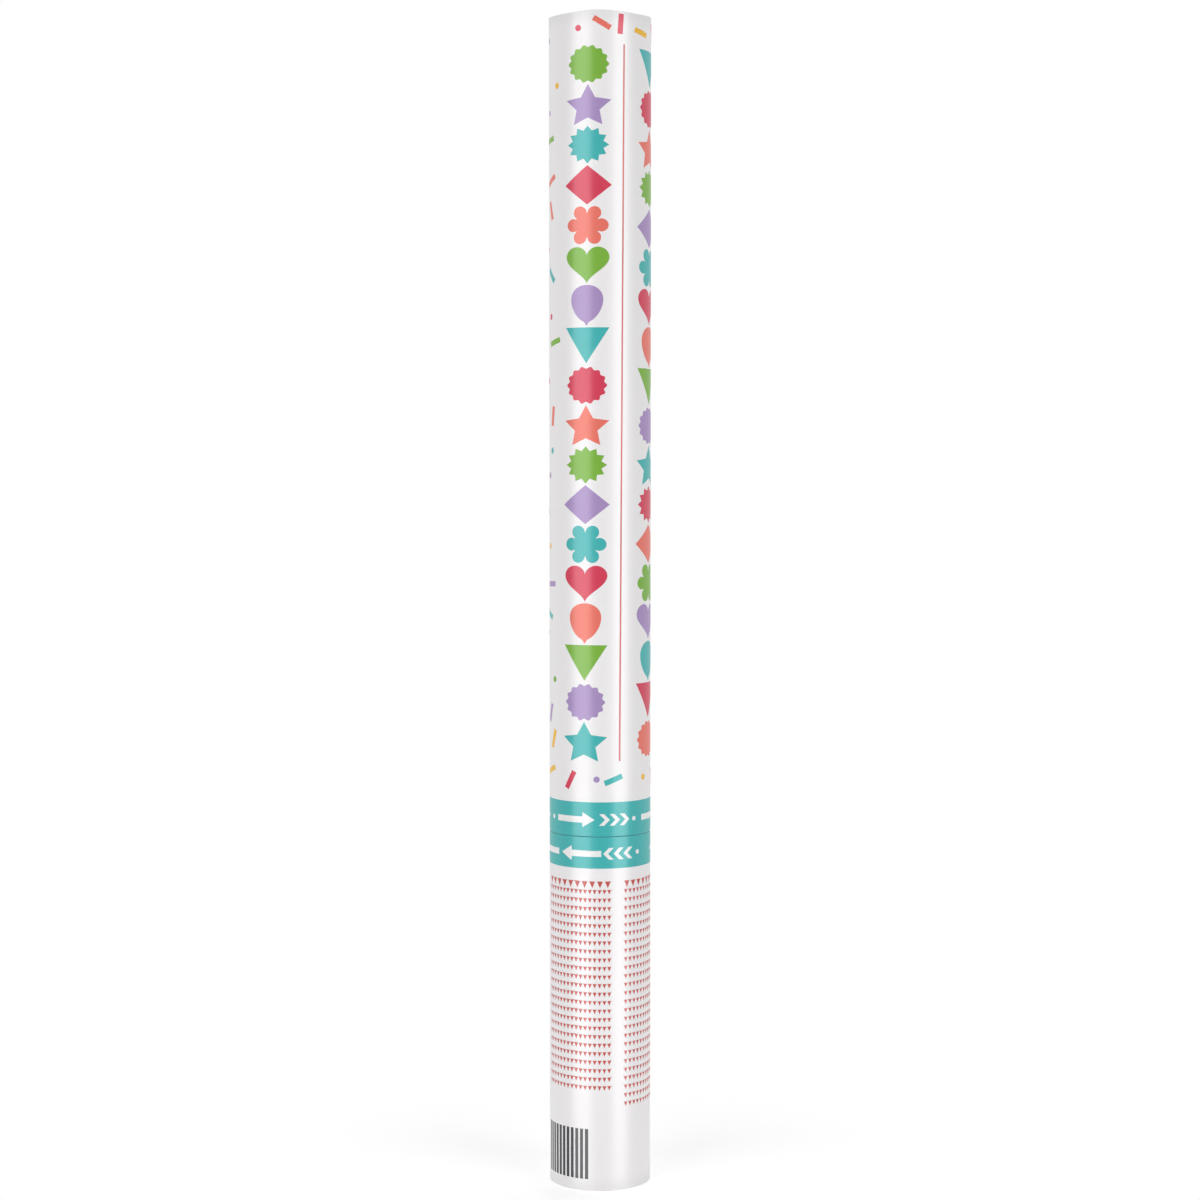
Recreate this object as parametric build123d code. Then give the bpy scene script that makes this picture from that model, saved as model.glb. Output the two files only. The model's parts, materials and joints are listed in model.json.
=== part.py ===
from build123d import *
import os
from math import atan, cos, pi, sqrt, tan

# Twist-fired confetti popper in millimetres. +Z runs up the tube, and the origin is the
# centre of the lower rim. The barrel turns on the base, two ramps inside it let the plug
# of the air valve rise, and the bottle's air drives the confetti through the foil.

# Paper tubes, printed wraps and foil
OVERALL_HEIGHT = 600.0
BASE_LENGTH = 182.4
JOINT_GAP = 0.8
TUBE_BORE_RADIUS = 23.75
TUBE_WALL = 2.2
WRAP_THICKNESS = 0.2
WRAP_LIP = 2.4
FOIL_THICKNESS = 0.15
FOIL_SKIRT = 6.0

# Clearances of the fits
GLUE_GAP = 0.05
RUNNING_GAP = 0.15
THRUST_GAP = 0.2
SLIDING_GAP = 0.35

# Bottom cap
CAP_RECESS = 2.5
CAP_WALL = 1.6
CAP_HEIGHT = 14.0
CAP_CORNER_RADIUS = 0.8
CAP_RIB_HEIGHT = 3.0
CAP_RIB_COUNT = 8
CAP_BOSS_RADIUS = 6.0
CAP_GATE_RADIUS = 4.0
CAP_GATE_DEPTH = 0.5
RIB_THICKNESS = 1.6

# Air bottle, its filling grommet, its foam bands and its neck washer
BOTTLE_SIDE_GAP = 0.35
BOTTLE_WALL = 1.4
BOTTLE_FOOT_GAP = 0.3
HEEL_RADIUS = 5.0
FOOT_FLAT = 1.5
PUNT_DEPTH = 4.0
PUNT_FILLET = 1.2
SHOULDER_HEIGHT = 14.0
SHOULDER_RADIUS = 9.0
NECK_ROOT_RADIUS = 3.0
NECK_WALL = 2.0
NECK_RING_REACH = 2.4
NECK_RING_HEIGHT = 2.0
NECK_RING_CLEARANCE = 1.0
GROMMET_HOLE_RADIUS = 4.0
GROMMET_LIP = 2.2
GROMMET_FLANGE = 1.5
GROMMET_NOSE_LENGTH = 5.0
GROMMET_NOSE_RADIUS = 2.5
GROMMET_DIMPLE_RADIUS = 1.2
GROMMET_DIMPLE_DEPTH = 3.0
BAND_HEIGHT = 12.0
BAND_MARGIN = 12.0
GASKET_THICKNESS = 1.6

# Valve body
VALVE_BORE_RADIUS = 9.0
NOZZLE_WALL = 2.2
NOZZLE_REACH = 8.0
SCREW_SKIRT_WALL = 2.2
SCREW_SKIRT_LENGTH = 14.0
VALVE_PLATE = 3.0
DRUM_WALL = 2.0
DRUM_LENGTH = 29.6
THRUST_FLANGE = 2.0
PORT_STEP = 1.4
TOWER_WALL = 2.0
GUSSET_HEIGHT = 14.0
GUSSET_COUNT = 6
SPIGOT_WALL = 1.8
BEAD_REACH = 1.4
BEAD_HEIGHT = 1.5
BEAD_LEAD_IN = 2.5
BEAD_CLEARANCE = 1.0
FINGER_COUNT = 6
FINGER_SLOT_WIDTH = 1.6

# Plug, O-ring and cross pin
PLUG_HEAD_HEIGHT = 8.0
PLUG_CHAMFER = 0.8
PLUG_STEM_RADIUS = 5.0
PLUG_FIN_THICKNESS = 1.6
PLUG_FIN_GAP = 6.0
PLUG_FIN_COUNT = 4
O_RING_SECTION = 2.0
O_RING_GROOVE_SLACK = 0.2
PIN_RADIUS = 2.0
PIN_CHAMFER = 0.4
PIN_ABOVE_THRUST = 0.4
PIN_COVER = 2.0

# Cam collar
COLLAR_WALL = 2.0
BEARING_HEIGHT = 5.0
PLUG_LIFT = 6.0
TWIST_RANGE = 90.0
RAMP_OVERRUN = 14.0
CLAW_CLEARANCE = 0.4
CLAW_ROOT = 4.0
COLLAR_PLATE = 2.5
HUB_RADIUS = 5.0
WINDOW_RIM = 1.0
WINDOW_COUNT = 6
SPOKE_WIDTH = 2.6

# Wad and confetti
WAD_HEIGHT = 16.0
WAD_WALL = 1.5
WAD_CORNER_RADIUS = 1.5
SLIP_WIDTH = 18.0
SLIP_STAGGER = 0.4
QUIRE_THICKNESS = 2.2
STACK_GAP = 0.2
STACK_CLEARANCE = 0.6
HEADSPACE = 53.5
LAYER_COUNT = 6
COLOURS = ["red", "coral", "yellow", "green", "teal", "purple"]

# Tubes, wraps and foil: radii and heights that follow
tube_radius = TUBE_BORE_RADIUS + TUBE_WALL
wrap_radius = tube_radius + WRAP_THICKNESS
fixed_radius = TUBE_BORE_RADIUS - GLUE_GAP
barrel_foot = BASE_LENGTH + JOINT_GAP
foil_top = OVERALL_HEIGHT - WRAP_LIP
barrel_top = foil_top - FOIL_THICKNESS
skirt_foot = foil_top - FOIL_SKIRT

# Valve stack, from the turning joint downwards
thrust_z = barrel_foot - THRUST_GAP
plate_foot = thrust_z - DRUM_LENGTH
plate_top = plate_foot + VALVE_PLATE
nozzle_foot = plate_foot - NOZZLE_REACH
nozzle_radius = VALVE_BORE_RADIUS + NOZZLE_WALL
neck_bore_radius = nozzle_radius + RUNNING_GAP
neck_radius = neck_bore_radius + NECK_WALL
neck_top = plate_foot - GASKET_THICKNESS
screw_skirt_foot = plate_foot - SCREW_SKIRT_LENGTH
screw_skirt_bore = neck_radius + RUNNING_GAP
tower_bore_radius = VALVE_BORE_RADIUS + PORT_STEP
tower_radius = tower_bore_radius + TOWER_WALL
drum_bore_radius = fixed_radius - DRUM_WALL

# Turning joint: the bead of the snap spigot over the collar's bearing ring
collar_bore_radius = fixed_radius - COLLAR_WALL
bead_radius = collar_bore_radius - BEAD_CLEARANCE
spigot_radius = bead_radius - BEAD_REACH
spigot_bore_radius = spigot_radius - SPIGOT_WALL
bearing_top = barrel_foot + BEARING_HEIGHT
bead_foot = bearing_top + THRUST_GAP
spigot_top = bead_foot + BEAD_HEIGHT + BEAD_LEAD_IN

# Plug and ramps
pin_z = thrust_z + PIN_ABOVE_THRUST
pin_reach = spigot_bore_radius - CLAW_CLEARANCE - RUNNING_GAP
pin_slot_radius = PIN_RADIUS + RUNNING_GAP
plug_radius = VALVE_BORE_RADIUS - RUNNING_GAP
seal_z = plate_foot + O_RING_SECTION / 2
claw_inner = tower_radius + CLAW_CLEARANCE
claw_outer = spigot_bore_radius - CLAW_CLEARANCE
ramp_pitch = PLUG_LIFT * 360.0 / TWIST_RANGE
ramp_slope = atan(ramp_pitch / (2 * pi * claw_inner))
ramp_rest_z = pin_z + PIN_RADIUS / cos(ramp_slope) + RUNNING_GAP
ramp_top_z = ramp_rest_z + ramp_pitch * (TWIST_RANGE + RAMP_OVERRUN) / 360.0
collar_plate_foot = ramp_top_z + CLAW_ROOT
collar_top = collar_plate_foot + COLLAR_PLATE
tower_top = pin_z + PIN_RADIUS + PLUG_LIFT + PIN_COVER

# Air bottle between the cap's ribs and the neck washer
cap_bore_radius = fixed_radius - CAP_WALL
bottle_radius = cap_bore_radius - BOTTLE_SIDE_GAP
cap_floor = CAP_RECESS + CAP_WALL
bottle_foot = cap_floor + CAP_RIB_HEIGHT + BOTTLE_FOOT_GAP
punt_z = bottle_foot + PUNT_DEPTH
foot_inner = bottle_radius - HEEL_RADIUS - FOOT_FLAT
punt_radius = foot_inner - PUNT_DEPTH
neck_ring_top = screw_skirt_foot - NECK_RING_CLEARANCE
neck_root = neck_ring_top - NECK_RING_HEIGHT
shoulder_z = neck_root - SHOULDER_HEIGHT

# Wad and the confetti above it
wad_foot = collar_top + THRUST_GAP
wad_top = wad_foot + WAD_HEIGHT
stack_radius = TUBE_BORE_RADIUS - STACK_CLEARANCE
layer_pitch = (barrel_top - HEADSPACE - wad_top) / LAYER_COUNT
slip_length = layer_pitch - STACK_GAP


def turned(outline, radii=None):
    """Solid of revolution about Z of a closed outline of (radius, height) points."""
    if radii:
        path = FilletPolyline(*outline, radius=radii, close=True)
    else:
        path = Polyline(*outline, close=True)
    return revolve(Plane.XZ * make_face(path), Axis.Z)


def ring(inner, outer, foot, top):
    """Plain tube between two radii and two heights."""
    return turned([(inner, foot), (outer, foot), (outer, top), (inner, top)])


def disc(radius, foot, top):
    """Solid cylinder about Z between two heights."""
    return Pos(0, 0, foot) * Cylinder(radius, top - foot, align=(Align.CENTER, Align.CENTER, Align.MIN))


def radial_plate(inner, outer, thickness, foot, top, angle):
    """Upright plate that runs outwards from the axis at one angle, as a rib or a slot."""
    plate = Pos(inner, 0, foot) * Box(
        outer - inner, thickness, top - foot, align=(Align.MIN, Align.CENTER, Align.MIN)
    )
    return Rot(0, 0, angle) * plate


def around(count, phase=0.0):
    """Angles of an even pattern round the axis."""
    return [phase + 360.0 * index / count for index in range(count)]


def make_wrap(foot, top, step_z=None):
    """Printed paper round a tube; where there is foil, it steps over the skirt and ends in a lip."""
    if step_z is None:
        return ring(tube_radius, wrap_radius, foot, top)
    return turned([
        (tube_radius, foot),
        (wrap_radius, foot),
        (wrap_radius, step_z - FOIL_THICKNESS),
        (wrap_radius + FOIL_THICKNESS, step_z),
        (wrap_radius + FOIL_THICKNESS, top),
        (tube_radius + FOIL_THICKNESS, top),
        (tube_radius + FOIL_THICKNESS, step_z),
        (tube_radius, step_z),
    ])


def make_foil_seal():
    """Foil over the mouth, with its edge folded down round the tube."""
    return turned([
        (0, barrel_top),
        (tube_radius, barrel_top),
        (tube_radius, skirt_foot),
        (tube_radius + FOIL_THICKNESS, skirt_foot),
        (tube_radius + FOIL_THICKNESS, foil_top),
        (0, foil_top),
    ])


def make_bottom_cap():
    """Push-in cup with a lead-in edge, a gate dimple and ribs under the bottle's foot."""
    cup = turned(
        [
            (0, CAP_RECESS),
            (fixed_radius, CAP_RECESS),
            (fixed_radius, CAP_RECESS + CAP_HEIGHT - CAP_WALL),
            (fixed_radius - CAP_WALL / 2, CAP_RECESS + CAP_HEIGHT),
            (cap_bore_radius, CAP_RECESS + CAP_HEIGHT),
            (cap_bore_radius, cap_floor),
            (0, cap_floor),
        ],
        [0, CAP_CORNER_RADIUS, 0, 0, 0, CAP_CORNER_RADIUS, 0],
    )
    rib_top = cap_floor + CAP_RIB_HEIGHT
    rib_inner = CAP_BOSS_RADIUS - RIB_THICKNESS / 2
    rib_outer = cap_bore_radius + CAP_WALL / 2
    cup -= disc(CAP_GATE_RADIUS, CAP_RECESS, CAP_RECESS + CAP_GATE_DEPTH)
    cup += ring(CAP_BOSS_RADIUS - RIB_THICKNESS, CAP_BOSS_RADIUS, cap_floor, rib_top)
    for angle in around(CAP_RIB_COUNT):
        cup += radial_plate(rib_inner, rib_outer, RIB_THICKNESS, cap_floor, rib_top, angle)
    return cup


def make_air_bottle():
    """Blow-moulded bottle with a pushed-up foot, a shoulder and a ringed screw neck."""
    punt_bend = BOTTLE_WALL * tan(pi / 8)
    outside = turned(
        [
            (0, punt_z),
            (punt_radius, punt_z),
            (foot_inner, bottle_foot),
            (bottle_radius, bottle_foot),
            (bottle_radius, shoulder_z),
            (neck_radius, neck_root),
            (neck_radius, neck_top),
            (0, neck_top),
        ],
        [0, PUNT_FILLET, PUNT_FILLET, HEEL_RADIUS, SHOULDER_RADIUS, NECK_ROOT_RADIUS, 0, 0],
    )
    cavity = turned(
        [
            (0, punt_z + BOTTLE_WALL),
            (punt_radius + punt_bend, punt_z + BOTTLE_WALL),
            (foot_inner + punt_bend, bottle_foot + BOTTLE_WALL),
            (bottle_radius - BOTTLE_WALL, bottle_foot + BOTTLE_WALL),
            (bottle_radius - BOTTLE_WALL, shoulder_z - BOTTLE_WALL / 2),
            (neck_bore_radius, neck_root - BOTTLE_WALL / 2),
            (neck_bore_radius, neck_top),
            (0, neck_top),
        ],
        [
            0,
            PUNT_FILLET + BOTTLE_WALL,
            PUNT_FILLET,
            HEEL_RADIUS - BOTTLE_WALL,
            SHOULDER_RADIUS - BOTTLE_WALL,
            NECK_ROOT_RADIUS + BOTTLE_WALL,
            0,
            0,
        ],
    )
    neck_ring = ring(neck_radius - NECK_WALL / 2, neck_radius + NECK_RING_REACH, neck_root, neck_ring_top)
    grommet_hole = disc(GROMMET_HOLE_RADIUS, bottle_foot, punt_z + 2 * BOTTLE_WALL)
    return outside + neck_ring - cavity - grommet_hole


def make_fill_valve():
    """Rubber grommet pushed through the bottle's foot, closed but for the needle's dimple."""
    inside_z = punt_z + BOTTLE_WALL
    lip_radius = GROMMET_HOLE_RADIUS + GROMMET_LIP
    stem_radius = GROMMET_HOLE_RADIUS - GLUE_GAP
    dimple_top = punt_z - GROMMET_FLANGE + GROMMET_DIMPLE_DEPTH
    return turned([
        (0, dimple_top),
        (GROMMET_DIMPLE_RADIUS, dimple_top - GROMMET_DIMPLE_RADIUS),
        (GROMMET_DIMPLE_RADIUS, punt_z - GROMMET_FLANGE),
        (lip_radius, punt_z - GROMMET_FLANGE),
        (lip_radius, punt_z),
        (stem_radius, punt_z),
        (stem_radius, inside_z),
        (lip_radius, inside_z),
        (GROMMET_NOSE_RADIUS, inside_z + GROMMET_NOSE_LENGTH),
        (0, inside_z + GROMMET_NOSE_LENGTH),
    ])


def make_centring_rings():
    """Two foam bands that hold the bottle on the axis of the base tube."""
    low = bottle_foot + HEEL_RADIUS + BAND_MARGIN
    high = shoulder_z - BAND_MARGIN - BAND_HEIGHT
    bands = [
        ring(bottle_radius, fixed_radius, foot, foot + BAND_HEIGHT)
        for foot in (low, high)
    ]
    return Compound([band.solid() for band in bands])


def make_snap_spigot():
    """Ring of sprung fingers whose beads hold the collar's bearing ring."""
    spigot = turned([
        (spigot_bore_radius, thrust_z - THRUST_FLANGE),
        (spigot_radius, thrust_z - THRUST_FLANGE),
        (spigot_radius, bead_foot),
        (bead_radius, bead_foot),
        (bead_radius, bead_foot + BEAD_HEIGHT),
        (spigot_radius - SPIGOT_WALL / 2, spigot_top),
        (spigot_bore_radius, spigot_top),
    ])
    slot_reach = bead_radius + BEAD_CLEARANCE
    for angle in around(FINGER_COUNT, 180.0 / FINGER_COUNT):
        spigot -= radial_plate(0, slot_reach, FINGER_SLOT_WIDTH, thrust_z, spigot_top, angle)
    return spigot


def make_guide_tower():
    """Tube above the nozzle, slotted on both sides for the cross pin."""
    tower = ring(tower_bore_radius, tower_radius, plate_top - VALVE_PLATE / 2, tower_top)
    for angle in (0, 180):
        tower -= radial_plate(0, claw_inner, 2 * pin_slot_radius, pin_z, tower_top, angle)
    slot_foot = Pos(0, 0, pin_z) * Rot(0, 90, 0) * Cylinder(pin_slot_radius, 2 * claw_inner)
    return tower - slot_foot


def make_valve_body():
    """Nozzle, screw skirt, plate, glued drum, guide tower and snap spigot in one moulding."""
    body = ring(VALVE_BORE_RADIUS, fixed_radius, plate_foot, plate_top)
    body += ring(VALVE_BORE_RADIUS, nozzle_radius, nozzle_foot, plate_top)
    body += ring(screw_skirt_bore, screw_skirt_bore + SCREW_SKIRT_WALL, screw_skirt_foot, plate_top)
    body += ring(drum_bore_radius, fixed_radius, plate_foot, thrust_z)
    body += ring(spigot_bore_radius, fixed_radius, thrust_z - THRUST_FLANGE, thrust_z)
    gusset_inner = tower_radius - TOWER_WALL / 2
    gusset_outer = drum_bore_radius + DRUM_WALL / 2
    gusset_top = plate_top + GUSSET_HEIGHT
    for angle in around(GUSSET_COUNT, 180.0 / GUSSET_COUNT):
        body += radial_plate(gusset_inner, gusset_outer, RIB_THICKNESS, plate_foot, gusset_top, angle)
    return body + make_guide_tower() + make_snap_spigot()


def make_valve_plug():
    """Plug with an O-ring groove, a finned stem that slides in the tower and a hole for the pin."""
    groove_half = O_RING_SECTION / 2 + O_RING_GROOVE_SLACK
    groove_radius = plug_radius - O_RING_SECTION
    head_foot = seal_z - PLUG_HEAD_HEIGHT / 2
    head_top = seal_z + PLUG_HEAD_HEIGHT / 2
    stem_top = pin_z + 2 * PIN_RADIUS
    plug = turned([
        (0, head_foot),
        (plug_radius - PLUG_CHAMFER, head_foot),
        (plug_radius, head_foot + PLUG_CHAMFER),
        (plug_radius, seal_z - groove_half),
        (groove_radius, seal_z - groove_half),
        (groove_radius, seal_z + groove_half),
        (plug_radius, seal_z + groove_half),
        (plug_radius, head_top - PLUG_CHAMFER),
        (plug_radius - PLUG_CHAMFER, head_top),
        (PLUG_STEM_RADIUS, head_top),
        (PLUG_STEM_RADIUS, stem_top - PLUG_CHAMFER),
        (PLUG_STEM_RADIUS - PLUG_CHAMFER, stem_top),
        (0, stem_top),
    ])
    fin_foot = head_top + PLUG_FIN_GAP
    fin_top = stem_top - PLUG_CHAMFER
    fin_reach = tower_bore_radius - RUNNING_GAP
    for angle in around(PLUG_FIN_COUNT, 180.0 / PLUG_FIN_COUNT):
        plug += radial_plate(0, fin_reach, PLUG_FIN_THICKNESS, fin_foot, fin_top, angle)
    pin_hole = Pos(0, 0, pin_z) * Rot(0, 90, 0) * Cylinder(PIN_RADIUS + GLUE_GAP, 2 * tower_radius)
    return plug - pin_hole


def make_plug_o_ring():
    """Rubber ring in the plug's groove."""
    section_radius = O_RING_SECTION / 2
    return Pos(0, 0, seal_z) * Torus(plug_radius + GLUE_GAP - section_radius, section_radius)


def make_cross_pin():
    """Steel pin through the stem, with chamfered ends."""
    pin = Cylinder(PIN_RADIUS, 2 * pin_reach)
    pin = chamfer(pin.edges().filter_by(GeomType.CIRCLE), PIN_CHAMFER)
    return Pos(0, 0, pin_z) * Rot(0, 90, 0) * pin


def make_claw(angle):
    """Claw whose underside is a left-handed helicoid that the cross pin bears against."""
    low_z = ramp_rest_z - ramp_pitch * RAMP_OVERRUN / 360.0
    climb = ramp_pitch * (TWIST_RANGE + 2 * RAMP_OVERRUN) / 360.0
    edges = [
        Helix(ramp_pitch, climb, radius, lefthand=True).edge()
        for radius in (claw_inner, claw_outer)
    ]
    underside = Face.make_surface_from_curves(*edges)
    rise = collar_plate_foot + COLLAR_PLATE / 2 - low_z
    blade = Solid.extrude(underside, Vector(0, 0, rise))
    blade = Rot(0, 0, angle + RAMP_OVERRUN) * Pos(0, 0, low_z) * blade
    return blade & disc(claw_outer + CLAW_CLEARANCE, low_z, collar_plate_foot + COLLAR_PLATE / 2)


def make_cam_collar():
    """Glued collar with the bearing ring, a vented top plate and the two ramped claws."""
    collar = ring(collar_bore_radius, fixed_radius, barrel_foot, collar_top)
    collar += ring(spigot_radius + RUNNING_GAP, fixed_radius, barrel_foot, bearing_top)
    plate = disc(fixed_radius, collar_plate_foot, collar_top)
    plate -= ring(HUB_RADIUS, claw_inner - WINDOW_RIM, collar_plate_foot, collar_top)
    for angle in around(WINDOW_COUNT):
        plate += radial_plate(HUB_RADIUS / 2, claw_inner, SPOKE_WIDTH, collar_plate_foot, collar_top, angle)
    collar += plate
    for angle in (0, 180):
        collar += make_claw(angle)
    return collar


def make_wad():
    """Board cup turned mouth down, so that the air swells its skirt against the bore."""
    wad_radius = TUBE_BORE_RADIUS - SLIDING_GAP
    return turned(
        [
            (0, wad_top - WAD_WALL),
            (wad_radius - WAD_WALL, wad_top - WAD_WALL),
            (wad_radius - WAD_WALL, wad_foot),
            (wad_radius, wad_foot),
            (wad_radius, wad_top),
            (0, wad_top),
        ],
        [0, WAD_CORNER_RADIUS, 0, 0, WAD_CORNER_RADIUS + WAD_WALL, 0],
    )


def make_slip_stack(thickness):
    """Upright stack of slips about the axis, whose quires stand out by turns at their edges."""
    quires = max(2, int(thickness / QUIRE_THICKNESS))
    pitch = thickness / quires
    side = []
    for index in range(quires):
        reach = SLIP_WIDTH / 2 - (index % 2) * SLIP_STAGGER
        side += [(reach, index * pitch - thickness / 2), (reach, (index + 1) * pitch - thickness / 2)]
    other_side = [(-x, y) for x, y in reversed(side)]
    outline = Polyline(*side, *other_side, close=True)
    return extrude(make_face(outline), slip_length)


def make_confetti():
    """Stacks of every colour: in each layer two lie side by side and two fill the sides."""
    half_gap = STACK_GAP / 2
    main_half = sqrt(stack_radius**2 - (SLIP_WIDTH + half_gap) ** 2)
    side_foot = main_half + STACK_GAP
    side_thickness = sqrt(stack_radius**2 - (SLIP_WIDTH / 2) ** 2) - side_foot
    main_stack = make_slip_stack(2 * main_half)
    side_stack = make_slip_stack(side_thickness)
    main_x = SLIP_WIDTH / 2 + half_gap
    side_y = side_foot + side_thickness / 2
    places = [
        (main_stack, Pos(main_x, 0, 0)),
        (side_stack, Pos(0, side_y, 0)),
        (main_stack, Pos(-main_x, 0, 0)),
        (side_stack, Pos(0, -side_y, 0)),
    ]
    stacks = {colour: [] for colour in COLOURS}
    for layer in range(LAYER_COUNT):
        lift = Pos(0, 0, wad_top + STACK_GAP + layer * layer_pitch)
        for slot, (stack, place) in enumerate(places):
            colour = COLOURS[(layer * (len(places) + 1) + slot) % len(COLOURS)]
            stacks[colour].append((lift * place * stack).solid())
    return {f"confetti_{colour}": Compound(solids) for colour, solids in stacks.items()}


pieces = {
    "base_tube": ring(TUBE_BORE_RADIUS, tube_radius, 0, BASE_LENGTH),
    "base_wrap": make_wrap(0, BASE_LENGTH),
    "bottom_cap": make_bottom_cap(),
    "air_bottle": make_air_bottle(),
    "fill_valve": make_fill_valve(),
    "centring_rings": make_centring_rings(),
    "neck_gasket": ring(neck_bore_radius, neck_radius, neck_top, plate_foot),
    "valve_body": make_valve_body(),
    "valve_plug": make_valve_plug(),
    "plug_o_ring": make_plug_o_ring(),
    "cross_pin": make_cross_pin(),
    "cam_collar": make_cam_collar(),
    "barrel_tube": ring(TUBE_BORE_RADIUS, tube_radius, barrel_foot, barrel_top),
    "barrel_wrap": make_wrap(barrel_foot, OVERALL_HEIGHT, skirt_foot),
    "foil_seal": make_foil_seal(),
    "wad": make_wad(),
}
pieces.update(make_confetti())

os.makedirs("parts", exist_ok=True)
for name, piece in pieces.items():
    export_step(piece, f"parts/{name}.step")

print(f"{len(pieces)} pieces, slips {slip_length:.2f} mm long, headspace {HEADSPACE:.2f} mm")
print(f"pin at {pin_z:.2f}, ramp at rest {ramp_rest_z:.2f}, collar {barrel_foot:.2f} to {collar_top:.2f}")
print(f"bottle {bottle_foot:.2f} to {neck_top:.2f}, plug lift {PLUG_LIFT:.2f} over {TWIST_RANGE:.0f} degrees")
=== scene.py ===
# %% [markdown]
# # Confetti popper
# A party popper of the twisting kind: a long printed paper barrel stands on a short printed base, and a
# quarter turn between the two lets compressed air throw paper slips out through the foil mouth. The frame
# brings every solid at its real size in metres, standing at the origin with its front print towards -Y.

# %% Load the frame
import json
import math

import bpy
import numpy as np
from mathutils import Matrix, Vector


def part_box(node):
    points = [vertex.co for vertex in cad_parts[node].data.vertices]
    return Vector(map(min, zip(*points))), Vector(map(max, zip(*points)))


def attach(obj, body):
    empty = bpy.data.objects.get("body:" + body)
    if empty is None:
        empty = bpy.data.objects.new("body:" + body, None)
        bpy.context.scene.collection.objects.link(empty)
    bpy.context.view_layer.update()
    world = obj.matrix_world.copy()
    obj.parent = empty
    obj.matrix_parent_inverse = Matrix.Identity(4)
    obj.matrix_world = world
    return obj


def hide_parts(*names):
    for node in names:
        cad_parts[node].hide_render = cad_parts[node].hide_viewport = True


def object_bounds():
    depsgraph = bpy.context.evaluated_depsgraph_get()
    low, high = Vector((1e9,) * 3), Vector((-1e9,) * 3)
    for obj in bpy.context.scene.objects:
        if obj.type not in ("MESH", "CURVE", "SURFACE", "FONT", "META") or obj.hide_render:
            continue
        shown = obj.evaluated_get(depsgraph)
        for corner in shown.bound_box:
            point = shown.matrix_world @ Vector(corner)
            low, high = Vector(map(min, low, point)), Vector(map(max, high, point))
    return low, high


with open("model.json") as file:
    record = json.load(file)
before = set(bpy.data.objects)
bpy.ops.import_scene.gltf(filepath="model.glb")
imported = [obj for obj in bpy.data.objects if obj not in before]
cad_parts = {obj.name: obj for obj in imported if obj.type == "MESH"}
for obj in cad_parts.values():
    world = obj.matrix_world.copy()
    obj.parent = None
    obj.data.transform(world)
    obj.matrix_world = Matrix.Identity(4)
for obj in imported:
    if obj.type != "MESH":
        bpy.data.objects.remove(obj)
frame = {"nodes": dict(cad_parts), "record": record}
cad_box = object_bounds()
MM = 0.001
TURN = 2 * math.pi
print("solids in the frame:", len(frame["nodes"]), "height:", round(float(cad_box[1][2]), 4))

# %% [markdown]
# ## Camera
# The tube's edges and printed bands fix where the photograph was taken from: a little above the middle of
# the tube, and tilted slightly down. A camera object could be aimed with a constraint, but a place and one
# angle say the same and stay put.

# %% Place the camera
PHOTO_PIXELS = 1200
FOCAL_PIXELS = 2381
SENSOR_MM = 36
EYE = (0.0, -1.2314, 0.3644)
TILT_DOWN = math.radians(2.88)


def place(name, data):
    """Puts a new object with this data into the scene, at the origin."""
    item = bpy.data.objects.new(name, data)
    bpy.context.scene.collection.objects.link(item)
    return item


lens = bpy.data.cameras.new("photo_camera")
lens.sensor_width = SENSOR_MM
lens.lens = FOCAL_PIXELS / PHOTO_PIXELS * SENSOR_MM
camera = place("photo_camera", lens)
camera.location = EYE
camera.rotation_euler = (math.pi / 2 - TILT_DOWN, 0, 0)
bpy.context.scene.camera = camera
bpy.context.scene.view_settings.view_transform = "Standard"
print("lens:", round(lens.lens, 2), "mm")

# %% [markdown]
# ## Shader arithmetic
# A finish is a small formula: mottle times strength plus a base value. Blender writes formulas as Math nodes
# wired together, which is slow to read. Wrapping a socket in a class lets Python's own operators add those
# nodes, so that the formulas below look like formulas.

# %% Wrap shader sockets
class Wire:
    """An output of a shader tree: arithmetic on it adds Math nodes, and node adds any other node."""

    def __init__(self, tree, output=None):
        self.tree = tree
        self.output = output

    def node(self, kind, settings=None, sockets=None, result=0):
        """Adds one node: its settings first, then the values or links of its sockets."""
        made = self.tree.nodes.new(kind)
        for name, value in (settings or {}).items():
            setattr(made, name, value)
        for name, value in (sockets or {}).items():
            if isinstance(value, Wire):
                self.tree.links.new(value.output, made.inputs[name])
            else:
                made.inputs[name].default_value = value
        return Wire(self.tree, made.outputs[result])

    def math(self, operation, first, second=0.0):
        """Adds one Math node on two values or links."""
        return self.node("ShaderNodeMath", {"operation": operation}, {0: first, 1: second})

    def __add__(self, other):
        return self.math("ADD", self, other)

    def __sub__(self, other):
        return self.math("SUBTRACT", self, other)

    def __rsub__(self, other):
        return self.math("SUBTRACT", other, self)

    def __mul__(self, other):
        return self.math("MULTIPLY", self, other)

    def __gt__(self, other):
        return self.math("GREATER_THAN", self, other)

    __radd__ = __add__
    __rmul__ = __mul__

    def into(self, shader, socket):
        """Links this output to a shader's socket."""
        self.tree.links.new(self.output, shader.inputs[socket])


def fade(wire, value, start, end, first=0.0, last=1.0):
    """A value that goes smoothly from first to last while another goes from start to end."""
    return wire.node(
        "ShaderNodeMapRange", {"interpolation_type": "SMOOTHSTEP"},
        {"Value": value, "From Min": start, "From Max": end, "To Min": first, "To Max": last})


print("shader operators: + - * >")

# %% [markdown]
# ## Stage
# The popper was photographed between two tall soft lights, which draw a pale stripe down each side of the
# film, with white all round. The world here is white to the camera, and a soft fill comes mostly from behind.
# Mirrored rays see it greyer in front and overhead: a plain white world would wash the film out and leave
# the foil without a single dark crease.

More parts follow.
